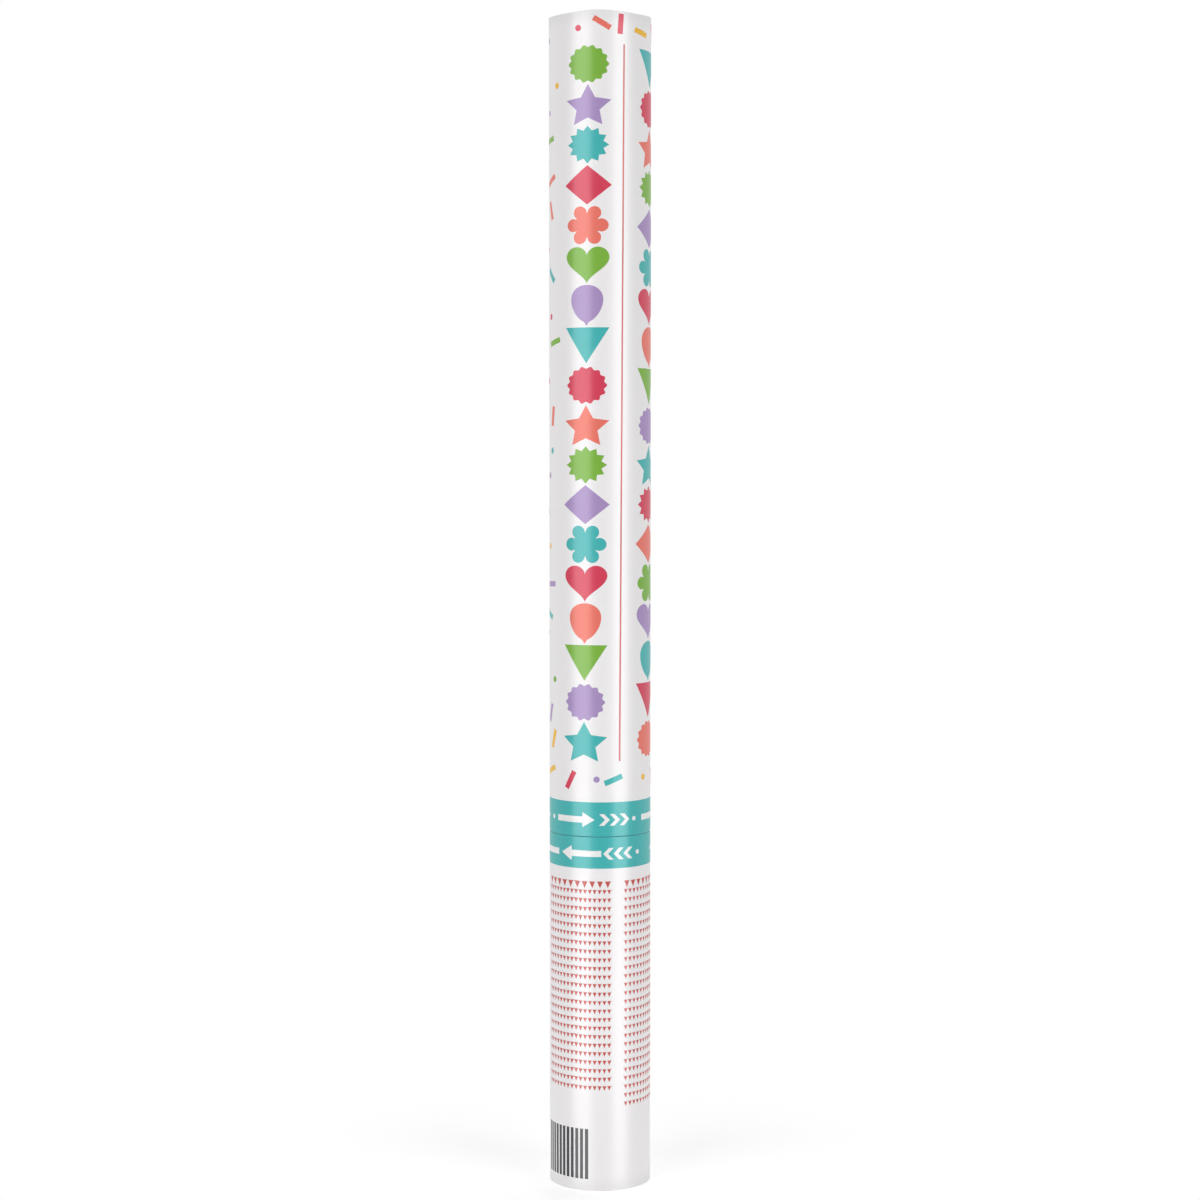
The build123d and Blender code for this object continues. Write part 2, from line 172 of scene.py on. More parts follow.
# %% Paint the world
FRONT_FILL = 0.06
BACK_FILL = 0.66
FRONT_GREY = 0.5
CEILING_GREY = 0.3
# Where each change starts and ends, as the share of a direction that lies along its axis.
FRONT_FADE = (-0.6, 0.6)
CEILING_FADE = (0.3, 0.95)


def seen_directly(wire):
    """1 for rays that show the surroundings: straight from the camera, mirrored, or through glass."""
    camera_ray = wire.node("ShaderNodeLightPath", result="Is Camera Ray")
    mirrored = wire.node("ShaderNodeLightPath", result="Is Glossy Ray")
    through = wire.node("ShaderNodeLightPath", result="Is Transmission Ray")
    return camera_ray.math("MAXIMUM", camera_ray.math("MAXIMUM", camera_ray, mirrored), through)


world = bpy.data.worlds.new("white_studio")
world.use_nodes = True
sky = Wire(world.node_tree)
backdrop = world.node_tree.nodes["Background"]
backdrop.inputs["Color"].default_value = (1, 1, 1, 1)
direction = sky.node("ShaderNodeTexCoord", result="Generated")
backward = sky.node("ShaderNodeSeparateXYZ", sockets={0: direction}, result="Y")
upward = sky.node("ShaderNodeSeparateXYZ", sockets={0: direction}, result="Z")
fill = fade(sky, backward, *FRONT_FADE, FRONT_FILL, BACK_FILL)
front_shade = fade(sky, backward, *FRONT_FADE, 1 - FRONT_GREY, 0.0)
ceiling_shade = fade(sky, upward, *CEILING_FADE, 0.0, 1 - CEILING_GREY)
shade = sky.math("MAXIMUM", front_shade, ceiling_shade)
mirrored_ray = sky.node("ShaderNodeLightPath", result="Is Glossy Ray")
(fill + seen_directly(sky) * (1 - fill) - mirrored_ray * shade).into(backdrop, "Strength")
bpy.context.scene.world = world
print("fill from the front and from behind:", FRONT_FILL, BACK_FILL)

# %% [markdown]
# Each light is an area lamp, because a lamp is also what the film mirrors: a tall lamp gives a tall stripe,
# where a point would give a dot. A third, narrow one draws a stripe down the back. The lamps leave the foil
# out by light linking, so that the foil mirrors only the world and doesn't glare.

# %% Place the lamps
SOFTBOX_REACH = 1.4
SOFTBOX_HEIGHT = 2.0
SOFTBOX_CENTRE = 0.36
# Azimuth from the front in degrees, width and radiance of each lamp.
SOFTBOXES = {
    "left_softbox": (-41.5, 1.08, 2.5),
    "right_softbox": (47.5, 0.88, 2.7),
    "back_softbox": (180, 0.40, 1.8),
}

receivers = bpy.data.collections.new("softbox_receivers")
for name, (azimuth, width, radiance) in SOFTBOXES.items():
    lamp = bpy.data.lights.new(name, "AREA")
    lamp.shape = "RECTANGLE"
    lamp.size = width
    lamp.size_y = SOFTBOX_HEIGHT
    lamp.energy = math.pi * width * SOFTBOX_HEIGHT * radiance
    softbox = place(name, lamp)
    heading = math.radians(azimuth)
    softbox.location = (SOFTBOX_REACH * math.sin(heading), -SOFTBOX_REACH * math.cos(heading), SOFTBOX_CENTRE)
    softbox.rotation_euler = (math.pi / 2, 0, heading)
    softbox.light_linking.receiver_collection = receivers
print("lamps:", ", ".join(SOFTBOXES))

# %% [markdown]
# A large plane would show a horizon, so the floor is a round one. It catches the tube's soft shadow near the
# foot and fades to pure white at its edge. It stays out of mirrored and shadow rays, so that the stripes
# reach down to the foot as they do in the photograph.

# %% Lay the floor
FLOOR_RADIUS = 0.20
FLOOR_CORNERS = 96

around = np.linspace(0, TURN, FLOOR_CORNERS, endpoint=False)
floor_rim = np.stack([FLOOR_RADIUS * np.cos(around), FLOOR_RADIUS * np.sin(around), 0 * around], axis=-1)
floor_mesh = bpy.data.meshes.new("floor")
floor_mesh.from_pydata(floor_rim, [], [list(range(FLOOR_CORNERS))])
floor = place("floor", floor_mesh)
floor.visible_glossy = False
floor.visible_shadow = False
print("floor radius:", FLOOR_RADIUS)

# %% Paint the floor
FADE_RADIUS = 0.3 * FLOOR_RADIUS
FLOOR_CATCH = 0.85
FLOOR_LIT = 0.67
FLOOR_BOUNCE = 0.68

paint = bpy.data.materials.new("floor_white")
paint.use_nodes = True
wire = Wire(paint.node_tree)
spot = wire.node("ShaderNodeTexCoord", result="Object")
reach = wire.node("ShaderNodeVectorMath", {"operation": "LENGTH"}, {0: spot}, "Value")
catch = fade(wire, reach, FADE_RADIUS, FLOOR_RADIUS, FLOOR_CATCH, 0.0)
matt = wire.node("ShaderNodeBsdfDiffuse", sockets={"Color": (FLOOR_BOUNCE, FLOOR_BOUNCE, FLOOR_BOUNCE, 1)})
white = wire.node("ShaderNodeBsdfDiffuse", sockets={"Color": (1, 1, 1, 1)})
glow = wire.node("ShaderNodeEmission", sockets={"Color": (1, 1, 1, 1), "Strength": 1 - catch * FLOOR_LIT})
none = wire.node("ShaderNodeBsdfDiffuse", sockets={"Color": (0, 0, 0, 1)})
shadowed = wire.node("ShaderNodeMixShader", sockets={0: catch, 1: none, 2: white})
shown = wire.node("ShaderNodeAddShader", sockets={0: glow, 1: shadowed})
whole = wire.node("ShaderNodeMixShader", sockets={0: seen_directly(wire), 1: matt, 2: shown})
whole.into(paint.node_tree.nodes["Material Output"], "Surface")
floor_mesh.materials.append(paint)
print("floor fades from", round(FADE_RADIUS, 3), "m")

# %% [markdown]
# ## Laminated paper and inks
# The tube is covered in white paper, printed in flat inks and sealed under a clear satin film. A full coat
# layer would glare along the tube's edges, where any coat mirrors most, so the shine is a small pearly share
# of metal with a thin coat over it. The haze drifts a little, the paper's fibres press through as a very fine
# grain, and both ends are darkened with painted shade under a duller film.

# %% Define the basic patterns
def linear(red, green, blue):
    """Turns a colour given as on a screen, 0 to 255, into the light values that shaders use."""
    screen = np.array([red, green, blue]) / 255
    light = np.where(screen > 0.04045, ((screen + 0.055) / 1.055) ** 2.4, screen / 12.92)
    return (*[float(value) for value in light], 1.0)


def tint(colour, strength):
    """The same colour, lighter or darker."""
    return (*[min(value * strength, 1.0) for value in colour[:3]], 1.0)


def blank_finish(name, **constants):
    """A new material with its Principled shader, whose fixed values are set on the shader itself."""
    material = bpy.data.materials.new(name)
    material.use_nodes = True
    shader = material.node_tree.nodes["Principled BSDF"]
    for socket, value in constants.items():
        shader.inputs[socket.replace("_", " ")].default_value = value
    material.diffuse_color = constants["Base_Color"]
    return material, Wire(material.node_tree), shader


def noise(wire, scale, detail=2.0, stretch=None):
    """Cloudy pattern from 0 to 1, with this many features to the metre; a stretch under 1 draws it out."""
    spot = wire.node("ShaderNodeTexCoord", result="Object")
    if stretch:
        spot = wire.node("ShaderNodeMapping", sockets={"Vector": spot, "Scale": stretch})
    return wire.node("ShaderNodeTexNoise", sockets={"Vector": spot, "Scale": scale, "Detail": detail})


def blend(wire, factor, first, second):
    """Colour that goes from the first to the second as the factor goes from 0 to 1."""
    return wire.node(
        "ShaderNodeMix", {"data_type": "RGBA", "clamp_factor": True}, {0: factor, 6: first, 7: second}, 2)


def shades(wire, pattern, colour, dark, light):
    """The colour times one strength where the pattern is 0 and times another where it is 1."""
    return blend(wire, pattern, tint(colour, dark), tint(colour, light))


def grain(wire, shader, height, depth):
    """Fine relief: the height, 0 to 1, times a depth in metres tilts the surface."""
    bump = wire.node("ShaderNodeBump", sockets={"Strength": 1.0, "Distance": depth, "Height": height})
    bump.into(shader, "Normal")


print("mid grey of a screen as light:", round(linear(128, 128, 128)[0], 3))

# %% Define the printed finishes
PAPER_FILM = 0.25
INK_FILM = 0.55
PAPER_MOTTLE = 0.012
INK_MOTTLE = 0.03
MOTTLE_SCALE = 700
FILM_PEARL = 0.10
FILM_HAZE = 0.36
HAZE_DRIFT = 0.05
DRIFT_SCALE = 24
COAT_HAZE = 0.25
COAT_IOR = 1.85
FIBRE_SCALE = 2600
FIBRE_DEPTH = 0.004 * MM
# Painted shade and a duller film towards both ends: how far they reach, how much darker, and how much film is
# left there.
END_SHADE_REACH = 9 * MM
END_SHADE_TONE = 0.94
END_FILM = 0.55


def toward_ends(wire):
    """Share from 0 to 1 towards the popper's two ends, where the print gets painted shade and a duller film.
    """
    spot = wire.node("ShaderNodeTexCoord", result="Object")
    level = wire.node("ShaderNodeSeparateXYZ", sockets={0: spot}, result="Z")
    top = float(cad_box[1][2])
    return fade(wire, level, END_SHADE_REACH, 0.0) + fade(wire, level, top - END_SHADE_REACH, top)


def laminated(name, colour, mottle, film):
    """Print under a satin film: colour with a faint mottle, drifting haze, paper fibres, and painted shade
    with a duller film at both ends.
    """
    material, wire, shader = blank_finish(
        name, Base_Color=colour, Specular_IOR_Level=0.0, Coat_Roughness=COAT_HAZE, Coat_IOR=COAT_IOR)
    unshaded = shades(wire, noise(wire, MOTTLE_SCALE, 3.0), colour, 1 - mottle, 1 + mottle)
    end_shade = toward_ends(wire)
    # Painted shade: the colour darkens towards both ends.
    blend(wire, end_shade, unshaded, tint(colour, END_SHADE_TONE)).into(shader, "Base Color")
    left = 1 - end_shade * (1 - END_FILM)
    (left * FILM_PEARL).into(shader, "Metallic")
    (left * film).into(shader, "Coat Weight")
    (FILM_HAZE + noise(wire, DRIFT_SCALE) * HAZE_DRIFT).into(shader, "Roughness")
    grain(wire, shader, noise(wire, FIBRE_SCALE), FIBRE_DEPTH)
    return material


INKS = {
    "red": linear(213, 58, 86),
    "coral": linear(234, 116, 100),
    "brick": linear(196, 84, 78),
    "yellow": linear(240, 186, 44),
    "green": linear(122, 178, 56),
    "teal": linear(62, 179, 179),
    "purple": linear(168, 142, 193),
    "white": linear(240, 240, 240),
    "grey": linear(62, 62, 68),
}
ink_finish = {
    colour: laminated(f"ink_{colour}", value, INK_MOTTLE, INK_FILM) for colour, value in INKS.items()}
paper_finish = laminated("paper_white", linear(242, 240, 241), PAPER_MOTTLE, PAPER_FILM)
print("inks:", ", ".join(INKS))

# %% [markdown]
# ## Paper sleeves
# Each tube wears one sheet of paper, glued round it with a narrow lap at the back. A plain cylinder would
# look like pipe: the board beneath is wound from strips, and their joins show through as very shallow dips
# that climb round the tube. The sleeve is therefore a grid of angle and height with that relief in its
# radius, closed over both edges so that it is a real sheet.

# %% Measure the solids
PAPER_PROUD = 0.3 * MM


def radius_of(node):
    """Half of a turned solid's width."""
    low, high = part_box(node)
    return float(high[0] - low[0]) / 2


def span_of(node):
    """Lowest and highest level of a solid."""
    low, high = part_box(node)
    return float(low[2]), float(high[2])


tube_radius = radius_of("base_tube")
paper_radius = radius_of("base_wrap")
foil_radius = radius_of("foil_seal")
skirt_foot, mouth = span_of("foil_seal")
base_foot, base_top = span_of("base_wrap")
barrel_foot, barrel_top = span_of("barrel_wrap")
joint_level = (base_top + barrel_foot) / 2
base_top += PAPER_PROUD
barrel_foot -= PAPER_PROUD
print("paper radius:", round(paper_radius / MM, 2), "mm, foil skirt from", round(skirt_foot / MM, 1), "mm")

# %% Describe the paper's surface
WIND_PITCH = 96 * MM
SWELL = 0.02 * MM
SEAM_DIP = 0.035 * MM
SEAM_WIDTH = 2.0 * MM
LAP_ANGLE = math.radians(233)
LAP_STEP = 0.12 * MM
LAP_WIDTH = 9 * MM
SKIRT_BLEND = 3 * MM
SKIRT_RISE = 0.08 * MM
EDGE_ROLL = 0.22 * MM
ROLL_WIDTH = 0.5 * MM


def paper_relief(angle, height):
    """Lift over a true cylinder: a swell along each wound strip, a dip at its join, the lap, the foil below,
    and edges rolled in at the twist joint, which fall away as an exponential."""
    strip = (height / WIND_PITCH + angle / TURN) % 1
    swell = SWELL * np.sin(TURN * strip)
    dip = SEAM_DIP * np.exp(-(((strip - 0.5) * WIND_PITCH / SEAM_WIDTH) ** 2))
    past_lap = (angle - LAP_ANGLE) % TURN * paper_radius
    lap = LAP_STEP * np.clip(1 - past_lap / LAP_WIDTH, 0, 1)
    over_foil = SKIRT_RISE * np.clip((height - skirt_foot) / SKIRT_BLEND + 1, 0, 1)
    rolled = EDGE_ROLL * np.exp(-np.abs(height - joint_level) / ROLL_WIDTH)
    return swell - dip + lap + over_foil - rolled


def on_tube(angle, radius, height):
    """Points at an angle from the front, turning to the right, at a radius and a height."""
    angle, radius, height = np.broadcast_arrays(angle, radius, height)
    return np.stack([radius * np.sin(angle), -radius * np.cos(angle), height], axis=-1)


print("relief at the front of the joint:", round(float(paper_relief(0.0, joint_level)) / MM, 3), "mm")

# %% [markdown]
# A mesh is an array of points and an array of faces that name them by number. Points could be added one at a
# time, but whole arrays are far quicker and read like the formula they come from. Every new piece goes
# through one short function, which shades it smooth, keeps its creases sharp and sets it on its body.

# %% Make pieces from arrays
def ring_faces(rows, columns, closed=False):
    """Four-sided faces between neighbouring rows of a grid whose columns close round."""
    row = np.arange(rows if closed else rows - 1)[:, None] * columns
    above = (row + columns) % (rows * columns)
    column = np.arange(columns)[None, :]
    beside = (column + 1) % columns
    corners = [row + column, row + beside, above + beside, above + column]
    return np.stack(corners, axis=-1).reshape(-1, 4)


def add_piece(name, points, faces, body, slot, material, crease=40):
    """A new piece from an array of points and an array of faces, riding on a body of the frame."""
    mesh = bpy.data.meshes.new(name)
    mesh.vertices.add(len(points))
    mesh.vertices.foreach_set("co", np.asarray(points, dtype=np.float32).ravel())
    mesh.loops.add(faces.size)
    mesh.loops.foreach_set("vertex_index", np.asarray(faces, dtype=np.int32).ravel())
    mesh.polygons.add(len(faces))
    mesh.polygons.foreach_set("loop_start", np.arange(0, faces.size, faces.shape[1], dtype=np.int32))
    mesh.update(calc_edges=True)
    mesh.shade_smooth()
    mesh.set_sharp_from_angle(angle=math.radians(crease))
    mesh.materials.append(material)
    piece = place(name, mesh)
    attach(piece, body)
    print(name, "faces:", len(faces))
    return piece


print("faces of a closed grid of 3 rows and 8 columns:", len(ring_faces(3, 8, closed=True)))

# %% Wrap the tubes in paper
SLEEVE_COLUMNS = 360
BASE_ROWS = 90
BARREL_ROWS = 190
EDGE_ROWS = np.array([0, 0.1, 0.2, 0.35, 0.55, 0.85, 1.3])[:, None] * MM
RIM_DEPTH = 0.58 * MM
# Height, count round the rim and start of each wave of the worn edge.
RIM_WAVES = [(-0.42 * MM, 4, 4 * math.radians(2)), (0.05 * MM, 3, 1.2), (0.06 * MM, 9, -math.pi / 2)]


def sheet_levels(foot, top, rows):
    """Levels up a sheet: close together at both edges, and even between them."""
    share = np.linspace(0, 1, rows)[1:-1, None]
    low = foot + EDGE_ROWS + 0 * top
    high = top - EDGE_ROWS[::-1]
    return np.concatenate([low, low[-1:] * (1 - share) + high[:1] * share, high])


def paper_sleeve(foot, rim, rows, lining):
    """A sheet round the tube: at each angle its section climbs the outside and comes back down its lining."""
    angle = np.linspace(0, TURN, SLEEVE_COLUMNS, endpoint=False)[None, :]
    outside = sheet_levels(foot, rim(angle), rows)
    outer = on_tube(angle, paper_radius + paper_relief(angle, outside), outside)
    first = on_tube(angle, lining[0][0], rim(angle))
    inner = [on_tube(angle, radius, np.full((1, 1), level)) for radius, level in lining]
    section = np.concatenate([outer, first, *inner])
    return section.reshape(-1, 3), ring_faces(len(section), SLEEVE_COLUMNS, closed=True)


def cut_rim(angle):
    """A straight cut edge."""
    return base_top + 0 * angle


def soft_rim(angle):
    """The mouth's free paper edge, worn into low waves: its depth below the top is a sum of cosines."""
    waves = [height * np.cos(count * angle + start) for height, count, start in RIM_WAVES]
    return barrel_top - RIM_DEPTH - sum(waves)


base_paper = add_piece(
    "base_paper", *paper_sleeve(base_foot, cut_rim, BASE_ROWS, [(tube_radius, base_foot)]),
    "base", "base_print", paper_finish)
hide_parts("base_wrap")
barrel_lining = [(foil_radius, skirt_foot), (tube_radius, skirt_foot), (tube_radius, barrel_foot)]
barrel_paper = add_piece(
    "barrel_paper", *paper_sleeve(barrel_foot, soft_rim, BARREL_ROWS, barrel_lining),
    "barrel", "barrel_print", paper_finish)
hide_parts("barrel_wrap")

# %% [markdown]
# ## Print
# The print is a set of flat coloured shapes on the paper. A picture texture would blur close up, so each
# shape is a very thin patch that follows the paper: an outline drawn on the unrolled sheet, filled with rings
# towards its middle, then rolled round the tube. All shapes of one colour on one tube make one piece.

# %% Stamp outlines on the paper
INK_LIFT = 0.05 * MM
INK_ROOT = -0.02 * MM
# The barrel's sheet was glued on slightly askew: its print leans by this slope about a level.
LEAN = 0.0065
LEAN_LEVEL = 0.40
stamped = {}


def patch_faces(rings, corners):
    """Triangles of one patch: a fan round its middle, bands between rings, its edge, and a fan underneath."""
    bands = ring_faces(rings + 1, corners)[:, ::-1]
    column = np.arange(corners)
    beside = (column + 1) % corners
    middle = (rings + 1) * corners
    last = rings * corners
    crown = np.stack([0 * column + middle, column, beside], axis=-1)
    sole = np.stack([last + column, 0 * column + middle + 1, last + beside], axis=-1)
    return np.concatenate([crown, bands[:, [0, 1, 2]], bands[:, [0, 2, 3]], sole])


def stamp(body, colour, outlines, centres, rings=1, layer=1):
    """Lays outlines, in metres round each centre of arc length and height, on the paper as thin patches:
    a ring is the outline times its share of the way out, and an angle is an arc over the radius."""
    centres = np.atleast_2d(centres)
    outlines = np.broadcast_to(outlines, (len(centres), *np.shape(outlines)[-2:]))
    corners = outlines.shape[1]
    share = np.append(np.arange(1, rings + 1) / rings, 1.0)[None, :, None, None]
    flat = (centres[:, None, None, :] + share * outlines[:, None]).reshape(len(centres), -1, 2)
    flat = np.concatenate([flat, centres[:, None], centres[:, None]], axis=1)
    lift = np.full(flat.shape[1], INK_LIFT * layer)
    lift[rings * corners:(rings + 1) * corners] = INK_ROOT
    lift[-1] = INK_ROOT
    height = flat[..., 1]
    lean = LEAN * (height - LEAN_LEVEL) if body == "barrel" else 0.0
    angle = (flat[..., 0] + lean) / paper_radius
    points = on_tube(angle, paper_radius + paper_relief(angle, height) + lift, height)
    offsets = np.arange(len(centres))[:, None, None] * flat.shape[1]
    faces = patch_faces(rings, corners)[None] + offsets
    stamped.setdefault((body, colour), []).append((points.reshape(-1, 3), faces.reshape(-1, 3)))


print("triangles of a patch of 7 rings and 80 corners:", len(patch_faces(7, 80)))

# %% [markdown]
# Each outline is drawn once, to fill a unit square, and only scaled when it is stamped. Curves could be drawn
# by hand, but a star, a flower or a balloon is a short formula of an angle, and its points come out even.
# Straight edges are cut into steps as well, because they have to bend round the tube.

# %% Draw the outlines
KNOT_LENGTH = 0.2
KNOT_WIDTH = 0.13
BALLOON_TAPER = 0.22


def corner_outline(corners, steps):
    """Closed outline through corners, turning to the left, with each straight edge cut into equal steps."""
    corners = np.array(corners, dtype=float)
    along = np.linspace(0, 1, steps, endpoint=False)[None, :, None]
    return (corners[:, None] * (1 - along) + np.roll(corners, -1, axis=0)[:, None] * along).reshape(-1, 2)


def round_outline(radius, count=72):
    """Closed outline whose distance from the middle is a function of the angle."""
    angle = np.linspace(0, TURN, count, endpoint=False)
    return radius(angle)[:, None] * np.stack([np.cos(angle), np.sin(angle)], axis=-1)


def spiked_outline(points, waist, steps):
    """Star: corners that alternate between the full radius and a waist, starting at the top."""
    angle = np.arange(2 * points) * math.pi / points + math.pi / 2
    radius = np.where(np.arange(2 * points) % 2, waist, 1.0)
    return corner_outline(np.stack([radius * np.cos(angle), radius * np.sin(angle)], axis=-1), steps)


def heart_outline(count=72):
    """Heart curve: sixteen cubed sines across, and four falling cosines up."""
    t = np.linspace(0, -TURN, count, endpoint=False)
    across = 16 * np.sin(t) ** 3
    up = 13 * np.cos(t) - 5 * np.cos(2 * t) - 2 * np.cos(3 * t) - np.cos(4 * t)
    return np.stack([across, up], axis=-1)


def balloon_outline(count=96):
    """Egg with a knot below: a sine that narrows downwards across, and a cosine less a sharp bump up."""
    t = np.linspace(0, -TURN, count, endpoint=False)
    knot = KNOT_LENGTH * np.exp(-(((np.abs(t) - math.pi) / KNOT_WIDTH) ** 2))
    return np.stack([np.sin(t) * (1 + BALLOON_TAPER * np.cos(t)), np.cos(t) - knot], axis=-1)


def squared(outline):
    """The outline moved and stretched to fill a unit square about the origin."""
    low = outline.min(axis=0)
    high = outline.max(axis=0)
    return (outline - (low + high) / 2) / (high - low)


OBLONG = np.array([(0.5, -0.5), (0.5, 0.5), (-0.5, 0.5), (-0.5, -0.5)])
PENNANT = np.array([(-0.5, 0.5), (0, -0.5), (0.5, 0.5)])
SIDE_POINTS = (-1, -0.5, 0, 0.5, 1)
SHAPES = {
    "star": squared(spiked_outline(5, 0.50, 8)),
    "burst": squared(spiked_outline(12, 0.76, 4)),
    "diamond": corner_outline([(0.5, 0), (0, 0.5), (-0.5, 0), (0, -0.5)], 14),
    "pennant": corner_outline(PENNANT, 18),
    "flower": squared(round_outline(lambda angle: 0.28 + 0.22 * np.abs(np.cos(3 * angle)) ** 0.6)),
    "rosette": squared(round_outline(lambda angle: 0.47 + 0.03 * np.cos(14 * angle), 112)),
    "balloon": squared(balloon_outline()),
    "heart": squared(heart_outline()),
    "dot": round_outline(lambda angle: 0.5 + 0 * angle, 18),
    "bar": np.array([(0.5 * side, 0.5 * side * level) for side in (1, -1) for level in SIDE_POINTS]),
}
print("shapes to print:", ", ".join(SHAPES))

# %% [markdown]
# The barrel carries two tall columns of bold party shapes with a thin rule between them. The columns take
# turns through shapes and colours whose counts share no factor, so that no pair repeats soon.

# %% Print the barrel's columns
COLUMN_FOOT = 221.5 * MM
COLUMN_TOP = 583 * MM
COLUMN_STEPS = 18
COLUMN_WIDTH = 25 * MM
LEFT_COLUMN = -7.2 * MM
RIGHT_COLUMN = 33.0 * MM
SHAPE_RINGS = 7
# Shape with its width as a share of the column and its height as a share of the step.
PARADE = [
    ("star", 0.96, 1.00), ("balloon", 0.68, 1.02), ("diamond", 1.00, 0.98), ("rosette", 0.86, 0.92),
    ("heart", 0.92, 0.92), ("burst", 0.88, 0.94), ("pennant", 0.94, 0.90), ("flower", 0.88, 0.94),
]
SHAPE_STRIDE = 3
COLUMN_INKS = ["teal", "coral", "purple", "red", "green"]
INK_STRIDE = 2
RULE_ARC = 11.4 * MM
RULE_WIDTH = 0.8 * MM
RULE_STEPS = 40
column_height = COLUMN_TOP - COLUMN_FOOT
step = column_height / COLUMN_STEPS


def print_column(arc, first_shape, first_ink):
    """A column of shapes, each centred in its own step of the height."""
    for place_up in range(COLUMN_STEPS):
        shape, wide, tall = PARADE[(first_shape + SHAPE_STRIDE * place_up) % len(PARADE)]
        colour = COLUMN_INKS[(first_ink + INK_STRIDE * place_up) % len(COLUMN_INKS)]
        centre = (arc, COLUMN_FOOT + (place_up + 0.5) * step)
        size = np.array([wide * COLUMN_WIDTH, tall * step])
        stamp("barrel", colour, SHAPES[shape] * size, centre, rings=SHAPE_RINGS)


print_column(LEFT_COLUMN, first_shape=0, first_ink=0)
print_column(RIGHT_COLUMN, first_shape=3, first_ink=1)
rule = corner_outline(OBLONG * [RULE_WIDTH, column_height], RULE_STEPS)
stamp("barrel", "brick", rule, (RULE_ARC, COLUMN_FOOT + column_height / 2))
print("shapes in each column:", COLUMN_STEPS)

# %% [markdown]
# Small confetti is printed over the rest of the barrel. Places drawn freely at random would clump and
# overlap, so each piece gets a cell of a grid and is shaken about in it. The draws have a fixed seed, so that
# every run prints the same sheet, and what would fall on the paper's lap is left out.

# %% Scatter the printed confetti
CONFETTI_COLOURS = ["red", "coral", "yellow", "green", "teal", "purple"]
CONFETTI_DOT = 3.2 * MM
CONFETTI_BAR = np.array([2.8, 10.0]) * MM
DOT_SHARE = 0.5
STAGGER = 0.25
SHAKE = 0.26
LAP_CLEAR = 5.6 * MM
sheet = TURN * paper_radius
# Size of a cell, arcs from and to, and levels from and to: behind, above the columns and below them.
CONFETTI_FIELDS = [
    (16.5 * MM, 49 * MM, sheet - 24.5 * MM, 206 * MM, 593 * MM),
    (12.8 * MM, -20 * MM, 46 * MM, 583 * MM, 597 * MM),
    (12.8 * MM, -20 * MM, 46 * MM, 204 * MM, 218 * MM),
]
rng = np.random.default_rng(11)


def scatter(spacing, arc_from, arc_to, level_from, level_to):
    """Confetti on a grid of cells, each shaken about its cell: dots, and bars turned at random."""
    across = max(int((arc_to - arc_from) / spacing), 1)
    up = max(int((level_to - level_from) / spacing), 1)
    cell = np.stack(np.meshgrid(np.arange(across), np.arange(up)), axis=-1).reshape(-1, 2) + 0.5
    cell[:, 0] += STAGGER * (np.floor(cell[:, 1]) % 2 - 0.5)
    shaken = cell + rng.uniform(-SHAKE, SHAKE, cell.shape)
    centres = [arc_from, level_from] + shaken * [(arc_to - arc_from) / across, (level_to - level_from) / up]
    centres = centres[np.abs(centres[:, 0] - LAP_ANGLE * paper_radius) > LAP_CLEAR]
    colours = rng.integers(0, len(CONFETTI_COLOURS), len(centres))
    dotted = rng.random(len(centres)) < DOT_SHARE
    tilt = rng.uniform(0, math.pi, len(centres))
    spin = np.stack([np.cos(tilt), np.sin(tilt), -np.sin(tilt), np.cos(tilt)], axis=-1).reshape(-1, 2, 2)
    bars = SHAPES["bar"] * CONFETTI_BAR @ spin
    for index, colour in enumerate(CONFETTI_COLOURS):
        dots = (colours == index) & dotted
        rest = (colours == index) & ~dotted
        if dots.any():
            stamp("barrel", colour, SHAPES["dot"] * CONFETTI_DOT, centres[dots])
        if rest.any():
            stamp("barrel", colour, bars[rest], centres[rest], rings=2)
    return len(centres)


print("confetti printed:", sum(scatter(*field) for field in CONFETTI_FIELDS))

# %% [markdown]
# Two teal bands meet at the twist joint, where the paper's cut edges are rolled in a little. White arrows on
# the bands point opposite ways, which is how the hands turn the two tubes, with chevrons and dots between.

# %% Print the bands
BAND_TOP = 200.6 * MM
BAND_FOOT = 166.6 * MM
BAND_ROWS = 8


def band(body, colour, foot, top):
    """A printed ring: a low sleeve of ink from one level to another."""
    angle = np.linspace(0, TURN, SLEEVE_COLUMNS, endpoint=False)[None, :]
    outside = sheet_levels(np.full((1, 1), foot), np.full((1, 1), top), BAND_ROWS)
    levels = np.concatenate([outside, [[top], [foot]]])
    lift = np.full(levels.shape, INK_LIFT)
    lift[-2:] = INK_ROOT
    points = on_tube(angle, paper_radius + paper_relief(angle, levels) + lift, levels).reshape(-1, 3)
    faces = ring_faces(len(levels), SLEEVE_COLUMNS, closed=True)
    triangles = np.concatenate([faces[:, [0, 1, 2]], faces[:, [0, 2, 3]]])
    stamped.setdefault((body, colour), []).append((points, triangles))


band("barrel", "teal", barrel_foot, BAND_TOP)
band("base", "teal", BAND_FOOT, base_top)
print("bands from", round(BAND_FOOT / MM, 1), "to", round(BAND_TOP / MM, 1), "mm")

# %% Print the arrows
ARROW_LENGTH = 22.3 * MM
ARROW_HEAD = 6.4 * MM
ARROW_SPREAD = 7.7 * MM
ARROW_SHAFT = 3.2 * MM
ARROW_HEART = 1.0 * MM
CHEVRON = np.array([(-1.9, -3), (1.1, 0), (-1.9, 3), (-4.4, 3), (-1.4, 0), (-4.4, -3)]) * MM
CHEVRON_GAP = 5.4 * MM
CHEVRON_COUNT = 3
MARK_DOT = 2.4 * MM
MARK_GROUPS = 2
